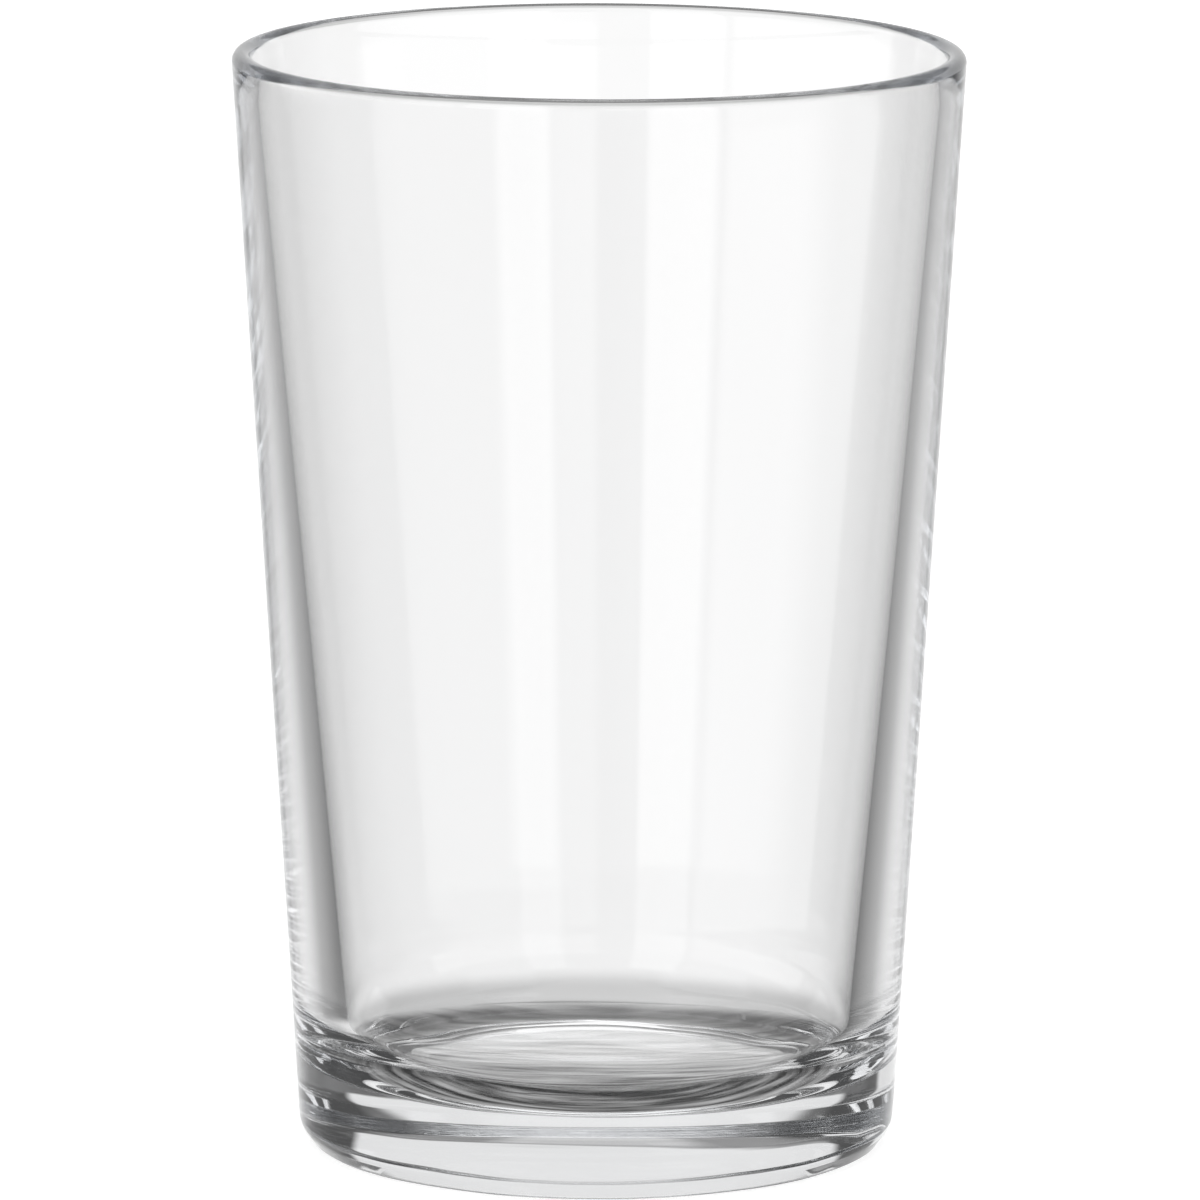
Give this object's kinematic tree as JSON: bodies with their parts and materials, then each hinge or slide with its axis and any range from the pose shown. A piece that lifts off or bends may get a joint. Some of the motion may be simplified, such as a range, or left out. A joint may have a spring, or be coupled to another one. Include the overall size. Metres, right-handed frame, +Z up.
{
  "type": "pint glass",
  "caption": "Straight-sided, tapered drinking glass in clear pressed glass with a thick, heavy base and a rounded rim.",
  "frame": {"origin": "middle of the plane that the glass stands on", "axes": "+Z up along the glass's axis, out of its mouth; +X and +Y are any two level directions"},
  "size_m": [0.0858, 0.0858, 0.13],
  "materials": {
    "clear_glass": "clear, fire-polished"
  },
  "bodies": {
    "root": {"glass_body": "clear_glass"}
  },
  "joints": []
}
